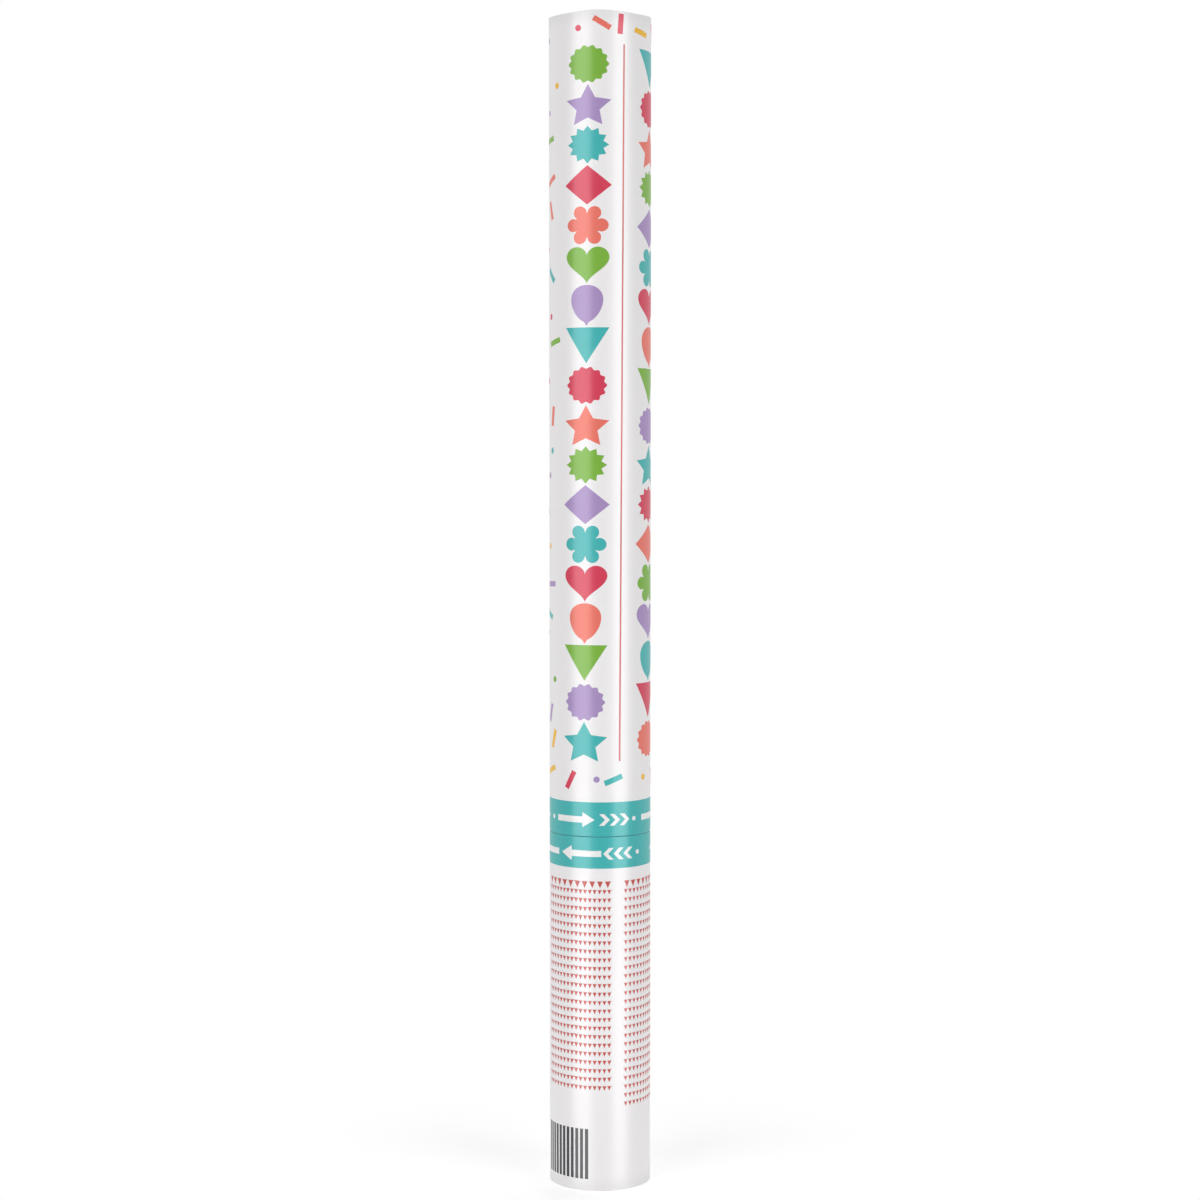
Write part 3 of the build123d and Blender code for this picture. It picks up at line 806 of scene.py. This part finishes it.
# Level and way of each band's marks, and the arcs of its arrows, first chevron and dots.
BAND_MARKS = {
    "barrel": (191.6 * MM, 1, np.array([-6.8, 42.8]) * MM, 5.3 * MM, np.array([-27.8, 20.2]) * MM),
    "base": (174.2 * MM, -1, np.array([-16.3, 41.0]) * MM, 2.7 * MM, np.array([21.4]) * MM),
}


def arrow_outline():
    """Arrow to the right, drawn about a heart just inside its head, from where its whole outline is seen."""
    back = -ARROW_HEART
    tip = back + ARROW_HEAD
    tail = tip - ARROW_LENGTH
    half = ARROW_SHAFT / 2
    wing = ARROW_SPREAD / 2
    return corner_outline([
        (tail, -half), (back, -half), (back, -wing), (tip, 0), (back, wing), (back, half), (tail, half)], 6)


def pointed(outline, way):
    """The outline, or its mirror image where the way is -1, in either case turning to the left."""
    return (outline * [way, 1])[::way]


def print_marks(body, level, way, arrows, first_chevron, dots):
    """Arrows, chevrons and dots at the given arcs, pointing one way, repeated evenly round the band."""
    chevrons = first_chevron + np.arange(CHEVRON_COUNT) * CHEVRON_GAP
    # Outline, arcs and rings of each kind of mark.
    marks = [
        (pointed(arrow_outline(), way), arrows, 9),
        (pointed(corner_outline(CHEVRON, 3), way), chevrons, 3),
        (SHAPES["dot"] * MARK_DOT, dots, 1),
    ]
    for group in range(MARK_GROUPS):
        for outline, arcs, rings in marks:
            round_tube = arcs + group * sheet / MARK_GROUPS
            spots = np.stack([round_tube, np.full(len(arcs), level)], axis=-1)
            stamp(body, "white", outline, spots, rings=rings, layer=2)


for body, marks in BAND_MARKS.items():
    print_marks(body, *marks)
print("groups of marks on each band:", MARK_GROUPS)

# %% [markdown]
# The base is plainer: two panels of very small brick-red bunting, and a patch of even grey stripes near the
# foot. Each row of bunting is a cord with little pennants hung from it, repeated as one array.

# %% Print the base's small patterns
BUNTING_TOP = 160 * MM
BUNTING_PITCH = 4.4 * MM
BUNTING_FLAG = np.array([2.0, 2.3]) * MM
BUNTING_STEP = 2.5 * MM
BUNTING_CORD = 0.3 * MM
CORD_STEPS = 24
FIRST_ROW = 1.5
# Arcs from and to, and number of rows, of each panel.
BUNTING_PANELS = [(-34 * MM, 6 * MM, 25), (12.5 * MM, 52 * MM, 27)]
STRIPE_SIZE = np.array([1.7, 26]) * MM
STRIPE_FIRST = -34 * MM
STRIPE_PITCH = 2.7 * MM
STRIPE_COUNT = 11
STRIPE_LEVEL = 19 * MM


def print_bunting(arc_from, arc_to, rows):
    """Rows of small pennants, each under a cord; the first row is larger."""
    length = arc_to - arc_from
    for row in range(rows):
        level = BUNTING_TOP - row * BUNTING_PITCH
        size = FIRST_ROW if row == 0 else 1.0
        flags = int(length / (BUNTING_STEP * size))
        arcs = arc_from + (np.arange(flags) + 0.5) * length / flags
        flag = PENNANT * BUNTING_FLAG * size
        hang = level - BUNTING_FLAG[1] * size / 2
        stamp("base", "brick", flag, np.stack([arcs, np.full(flags, hang)], axis=-1))
        cord = corner_outline(SHAPES["bar"] * [length, BUNTING_CORD], CORD_STEPS)
        stamp("base", "brick", cord, (arc_from + length / 2, level))


for panel in BUNTING_PANELS:
    print_bunting(*panel)
stripe_arcs = STRIPE_FIRST + STRIPE_PITCH * np.arange(STRIPE_COUNT)
stripe_spots = np.stack([stripe_arcs, np.full(STRIPE_COUNT, STRIPE_LEVEL)], axis=-1)
stamp("base", "grey", SHAPES["bar"] * STRIPE_SIZE, stripe_spots)
print("panels:", len(BUNTING_PANELS), "stripes:", STRIPE_COUNT)

# %% Join the inks into pieces
def join(patches):
    """One array of points and one of faces from several."""
    starts = np.cumsum([0] + [len(points) for points, _ in patches])
    points = np.concatenate([points for points, _ in patches])
    return points, np.concatenate([faces + start for start, (_, faces) in zip(starts, patches)])


for (body, colour), patches in stamped.items():
    add_piece(f"print_{body}_{colour}", *join(patches), body, f"{body}_print", ink_finish[colour])

# %% [markdown]
# ## Foil mouth
# A disc of thin foil closes the mouth, drawn tight over the board and folded down under the paper. Foil keeps
# every crease, and a bump map would vanish from the side, so the sheet is a grid of radius and angle that
# carries straight folds, the ring where the board's edge presses through, and short pleats towards the rim.
# It stays a closed sheet with two sides.

# %% Crease the foil
FOIL_SAG = 0.45 * MM
FOIL_EASE = 5 * MM
FOLD_COUNT = 14
FOLD_WIDTHS = (8 * MM, 28 * MM)
FOLD_STEEPNESS = 0.012
FOLD_SOFTNESS = 0.12
FOLD_CREST = 1.01
PLEAT_DEPTH = 0.06 * MM
PLEAT_REACH = 2.2 * MM
PLEAT_COUNT = 44
PLEAT_DRIFT = 3
DRIFT_COUNT = 5
bore_radius = radius_of("wad")
folds = np.random.default_rng(7)
fold_way = folds.uniform(0, math.pi, FOLD_COUNT)
fold_width = folds.uniform(*FOLD_WIDTHS, FOLD_COUNT)
fold_start = folds.uniform(0, TURN, FOLD_COUNT)


def foil_dip(radius, angle):
    """Depth below the rim: a shallow sag, creases where a sine crosses zero, and short pleats at the rim."""
    across = radius * np.sin(angle)
    along = -radius * np.cos(angle)
    inside = np.clip((bore_radius - radius) / FOIL_EASE, 0, 1)
    inside = inside * inside * (3 - 2 * inside)
    run = across[..., None] * np.cos(fold_way) + along[..., None] * np.sin(fold_way)
    wave = np.sqrt(np.sin(math.pi * run / fold_width + fold_start) ** 2 + FOLD_SOFTNESS**2)
    crumple = FOLD_STEEPNESS * (fold_width * (FOLD_CREST - wave)).sum(axis=-1)
    near_rim = np.exp(-(((radius - bore_radius) / PLEAT_REACH) ** 2))
    pleated = PLEAT_COUNT * angle + PLEAT_DRIFT * np.sin(DRIFT_COUNT * angle)
    pleat = PLEAT_DEPTH * (1 + np.cos(pleated)) * near_rim
    drum = FOIL_SAG * (1 - (radius / tube_radius) ** 2)
    return inside * (drum + crumple) + np.minimum(radius / bore_radius, 1) ** 4 * pleat


print("folds:", FOLD_COUNT, "pleats:", PLEAT_COUNT)

# %% Draw the foil over the mouth
FOIL_RINGS = 96
FOIL_COLUMNS = 288
FOIL_BEND = 0.05 * MM
SKIRT_SHARES = np.array([1 / 120, 1 / 2, 1])[:, None]


def foil_side(inset):
    """One side of the foil: rings from next to its middle out over the rim and down the skirt."""
    angle = np.linspace(0, TURN, FOIL_COLUMNS, endpoint=False)[None, :]
    edge = foil_radius - inset
    level = mouth - inset
    flat = np.linspace(0, 1, FOIL_RINGS + 1)[1:, None] * (edge - FOIL_BEND)
    flat, angle = np.broadcast_arrays(flat, angle)
    top = on_tube(angle, flat, level - foil_dip(flat, angle))
    skirt = on_tube(angle[:1], edge, level - SKIRT_SHARES * (level - skirt_foot))
    centre = np.zeros((1, 1))
    middle = on_tube(centre, centre, level - foil_dip(centre, centre))
    return middle.reshape(-1, 3), np.concatenate([top, skirt])


over_middle, over = foil_side(0.0)
under_middle, under = foil_side(foil_radius - tube_radius)
rows = np.concatenate([over, under[::-1]])
foil_points = np.concatenate([rows.reshape(-1, 3), over_middle, under_middle])
foil_faces = patch_faces(len(rows) - 1, FOIL_COLUMNS)
print("foil rows:", len(rows))

# %% Finish the foil
FOIL_DARK = (0.76, 0.76, 0.78, 1)
FOIL_BRIGHT = (0.90, 0.90, 0.91, 1)
FOIL_CLOUD = 60
FOIL_HAZE = 0.08
HAZE_CHANGE = 0.12
HAZE_SCALE = 180
CRINKLE_SCALE = 900
CRINKLE_DEPTH = 0.03 * MM

foil_finish, wire, shader = blank_finish("bright_foil", Base_Color=(0.80, 0.80, 0.81, 1), Metallic=1.0)
blend(wire, noise(wire, FOIL_CLOUD, 3.0), FOIL_DARK, FOIL_BRIGHT).into(shader, "Base Color")
(FOIL_HAZE + noise(wire, HAZE_SCALE) * HAZE_CHANGE).into(shader, "Roughness")
grain(wire, shader, noise(wire, CRINKLE_SCALE, 3.0), CRINKLE_DEPTH)
mouth_foil = add_piece("mouth_foil", foil_points, foil_faces, "barrel", "seal_foil", foil_finish, crease=50)
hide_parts("foil_seal")
receivers.objects.link(mouth_foil)
receivers.collection_objects[0].light_linking.link_state = "EXCLUDE"

# %% [markdown]
# ## Board, plastics, rubber and steel
# The solids of the frame are right as they are and only need their finishes. Most lie inside, but they show
# when the popper is taken apart. A flat colour would look like a toy, so each finish has a tone that drifts
# and a grain of its own scale. The tubes are brown wound board, whose plies show at the cut rims as rings:
# the distance from the axis, counted in plies, gives them without any drawing.

# %% Define the board and paper finishes
PLY = 0.44 * MM
PLY_LINE = 0.2
PLY_SHARE = 0.3
BOARD_TONES = (0.62, 1.25)
FLECK_SCALE = 500
FLECK_STRETCH = (1, 1, 0.25)
FLECK_DEPTH = 0.06 * MM
FELT_TONES = (0.82, 1.14)
TISSUE_TONES = (0.72, 1.22)
TISSUE_SCALE = 900
TISSUE_STRETCH = (0.03, 1, 0.02)
TISSUE_DEPTH = 0.03 * MM


def wound_board(name, colour):
    """Fibrous board: long flecks along the tube, and a dark line every ply where the rim is cut."""
    material, wire, shader = blank_finish(name, Base_Color=colour, Roughness=0.85)
    spot = wire.node("ShaderNodeTexCoord", result="Object")
    level = wire.node("ShaderNodeMapping", sockets={"Vector": spot, "Scale": (1, 1, 0)})
    plies = wire.node("ShaderNodeVectorMath", {"operation": "LENGTH"}, {0: level}, "Value") * (1 / PLY)
    fleck = noise(wire, FLECK_SCALE, 4.0, FLECK_STRETCH)
    tone = fleck * (1 - PLY_SHARE) + (wire.math("FRACT", plies) > PLY_LINE) * PLY_SHARE
    shades(wire, tone, colour, *BOARD_TONES).into(shader, "Base Color")
    grain(wire, shader, fleck, FLECK_DEPTH)
    return material


def fibrous(name, colour, scale, depth):
    """Soft matt board or foam: clouded colour over a coarse felted grain."""
    material, wire, shader = blank_finish(name, Base_Color=colour, Roughness=0.92)
    felt = noise(wire, scale, 4.0)
    shades(wire, felt, colour, *FELT_TONES).into(shader, "Base Color")
    grain(wire, shader, felt, depth)
    return material


def tissue(name, colour):
    """Stacked tissue: felted, with a tone that changes from slip to slip through the stack."""
    material, wire, shader = blank_finish(name, Base_Color=colour, Roughness=0.92)
    felt = noise(wire, TISSUE_SCALE, 4.0)
    tone = felt * 0.5 + noise(wire, TISSUE_SCALE, 1.0, TISSUE_STRETCH) * 0.5
    shades(wire, tone, colour, *TISSUE_TONES).into(shader, "Base Color")
    grain(wire, shader, felt, TISSUE_DEPTH)
    return material


print("thickness of a ply:", round(PLY / MM, 2), "mm")

# %% [markdown]
# The valve's mouldings and the rubber seals take the fine sparked grain of their mould. The bottle is blown
# from clear plastic and the pin is a ground rod, so their marks run one way: the same cloudy noise gives them
# when it is drawn out along one axis.

# %% Define the plastic and steel finishes
MOULD_TONES = (0.95, 1.04)
MOULD_CLOUD = 45
SHEEN_SCALE = 260
SHEEN_CHANGE = 0.12
SPARK_SCALE = 3200
SPARK_DEPTH = 0.012 * MM
BOTTLE_IOR = 1.57
BOTTLE_CLEAR = 0.9
BOTTLE_HAZE = 0.06
BOTTLE_CHANGE = 0.10
STREAK_STRETCH = (1, 1, 0.15)
STREAK_SCALE = 90
RIPPLE_SCALE = 140
RIPPLE_DEPTH = 0.04 * MM
SCRATCH_SCALE = 1500
SCRATCH_STRETCH = (0.05, 1, 1)
STEEL_TONES = (0.85, 1.15)
STEEL_HAZE = 0.22
STEEL_CHANGE = 0.16


def moulding(name, colour, roughness, depth=SPARK_DEPTH):
    """Moulded plastic or rubber: a faint tone drift and a fine sparked grain."""
    material, wire, shader = blank_finish(name, Base_Color=colour)
    shades(wire, noise(wire, MOULD_CLOUD), colour, *MOULD_TONES).into(shader, "Base Color")
    (roughness + noise(wire, SHEEN_SCALE) * SHEEN_CHANGE).into(shader, "Roughness")
    grain(wire, shader, noise(wire, SPARK_SCALE), depth)
    return material


def clear_bottle(name, colour):
    """Blown plastic: clear, with streaks in its gloss where it was stretched."""
    material, wire, shader = blank_finish(
        name, Base_Color=colour, Transmission_Weight=BOTTLE_CLEAR, IOR=BOTTLE_IOR)
    streaks = noise(wire, STREAK_SCALE, stretch=STREAK_STRETCH)
    (BOTTLE_HAZE + streaks * BOTTLE_CHANGE).into(shader, "Roughness")
    grain(wire, shader, noise(wire, RIPPLE_SCALE, stretch=STREAK_STRETCH), RIPPLE_DEPTH)
    return material


def ground_steel(name, colour):
    """Steel rod: fine scratches along it."""
    material, wire, shader = blank_finish(name, Base_Color=colour, Metallic=1.0)
    scratch = noise(wire, SCRATCH_SCALE, 3.0, SCRATCH_STRETCH)
    shades(wire, scratch, colour, *STEEL_TONES).into(shader, "Base Color")
    (STEEL_HAZE + scratch * STEEL_CHANGE).into(shader, "Roughness")
    return material


print("sparked grain:", SPARK_SCALE, "features to the metre")

# %% Give the solids their finishes
# Recipe of each of the record's slots, then its own values: roughness and depth, or scale and depth.
RECIPES = {
    "tube_board": (wound_board,),
    "cap_plastic": (moulding, 0.38),
    "bottle_plastic": (clear_bottle,),
    "black_rubber": (moulding, 0.62, 0.02 * MM),
    "foam_band": (fibrous, 1800, 0.25 * MM),
    "valve_plastic": (moulding, 0.42),
    "plug_plastic": (moulding, 0.40),
    "pin_steel": (ground_steel,),
    "collar_plastic": (moulding, 0.42),
    "wad_board": (fibrous, 700, 0.08 * MM),
}
RECIPES.update({f"confetti_{colour}": (tissue,) for colour in CONFETTI_COLOURS})
record_colour = {entry["slot"]: (*entry["base_color"], 1.0) for entry in frame["record"]["materials"]}
solid_finish = {slot: make(slot, record_colour[slot], *values) for slot, (make, *values) in RECIPES.items()}
finished = [entry for entry in frame["record"]["subparts"] if entry["material_slot"] in solid_finish]
for entry in finished:
    for holder in frame["nodes"][entry["node"]].material_slots:
        holder.material = solid_finish[entry["material_slot"]]
print("finishes:", len(solid_finish), "on", len(finished), "solids")

# %% [markdown]
# ## Paper slips
# The charge is some hundreds of tissue slips, packed upright in stacks of one colour. The frame holds each
# stack as one solid, which has the right weight but looks like a block. Here every stack becomes a row of
# thin slips. Each is a closed sheet on a small grid, a little bowed, shifted and tilted by chance, and all
# slips of one colour make one piece.

# %% Find the stacks
SLIP_WIDTH = 18 * MM
SLIP_LAYERS = 6
STACK_GAP = 0.2 * MM
boxes = np.array([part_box(f"confetti_{colour}") for colour in CONFETTI_COLOURS])
charge_low = boxes[:, 0].min(axis=0)
charge_high = boxes[:, 1].max(axis=0)
layer_height = (charge_high[2] - charge_low[2] + STACK_GAP) / SLIP_LAYERS
slip_length = layer_height - STACK_GAP
main_half = math.sqrt(charge_high[1] ** 2 + (SLIP_WIDTH / 2) ** 2 - charge_high[0] ** 2)
main_centre = charge_high[0] - SLIP_WIDTH / 2
side_half = (charge_high[1] - main_half - STACK_GAP) / 2
side_centre = charge_high[1] - side_half
# Centre across, centre in depth and half the depth of the four stacks of a layer.
STACKS = [
    (main_centre, 0.0, main_half), (0.0, side_centre, side_half),
    (-main_centre, 0.0, main_half), (0.0, -side_centre, side_half),
]
print("slips:", round(slip_length / MM, 1), "mm long, in stacks", round(2 * main_half / MM, 1), "mm deep")

# %% Pack the slips
SLIP_PITCH = 0.6 * MM
SLIP_THICKNESS = 0.22 * MM
SLIP_TRIM = 0.7 * MM
SLIP_SHIFT = 0.35 * MM
SLIP_TILT = 0.010
SLIP_BOW = 0.12 * MM
SLIP_ROWS = 5
# Loop round a slip seen from above, along its front and back along its rear, and the faces of its two ends.
LOOP_ACROSS = np.array([-1, 0, 1, 1, 0, -1])
LOOP_DEPTH = np.array([-1, -1, -1, 1, 1, 1])
FOOT_FACES = np.array([(0, 5, 4, 1), (1, 4, 3, 2)])
HEAD_FACES = np.array([(0, 1, 4, 5), (1, 2, 3, 4)])
chance = np.random.default_rng(5)


def slip_stack(across, depth, half, foot):
    """Slips side by side: each carries the loop up its length, bowed by one less the square of the width
    and by half a sine of the length."""
    count = int(2 * half / SLIP_PITCH)
    place_in = (((np.arange(count) + 0.5) / count - 0.5) * 2 * half)[:, None, None]
    u = LOOP_ACROSS[None, None, :]
    v = np.linspace(-1, 1, SLIP_ROWS)[None, :, None]
    shift, slide, tilt, bow, wave = chance.uniform(-1, 1, (5, count, 1, 1))
    half_width = SLIP_WIDTH / 2 - SLIP_TRIM
    half_length = slip_length / 2 - SLIP_TRIM
    bowed = SLIP_BOW * (bow * (1 - u * u) + wave * np.sin(2 * v) / 2)
    x = across + half_width * u + SLIP_SHIFT * shift + SLIP_TILT * tilt * half_length * v
    y = depth + place_in + SLIP_THICKNESS / 2 * LOOP_DEPTH + bowed
    z = foot + slip_length / 2 + half_length * v + SLIP_SHIFT * slide - SLIP_TILT * tilt * half_width * u
    points = np.stack(np.broadcast_arrays(x, y, z), axis=-1)
    top = (SLIP_ROWS - 1) * len(LOOP_ACROSS)
    slip = np.concatenate([ring_faces(SLIP_ROWS, len(LOOP_ACROSS)), FOOT_FACES, HEAD_FACES + top])
    faces = slip[None] + np.arange(count)[:, None, None] * SLIP_ROWS * len(LOOP_ACROSS)
    return points.reshape(-1, 3), faces.reshape(-1, 4)


packed = {colour: [] for colour in CONFETTI_COLOURS}
for layer in range(SLIP_LAYERS):
    for slot, stack in enumerate(STACKS):
        colour = CONFETTI_COLOURS[(layer * (len(STACKS) + 1) + slot) % len(CONFETTI_COLOURS)]
        packed[colour].append(slip_stack(*stack, charge_low[2] + layer * layer_height))
for colour, stacks in packed.items():
    node = f"confetti_{colour}"
    slips = add_piece(f"slips_{colour}", *join(stacks), "payload", node, solid_finish[node])
    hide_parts(node)
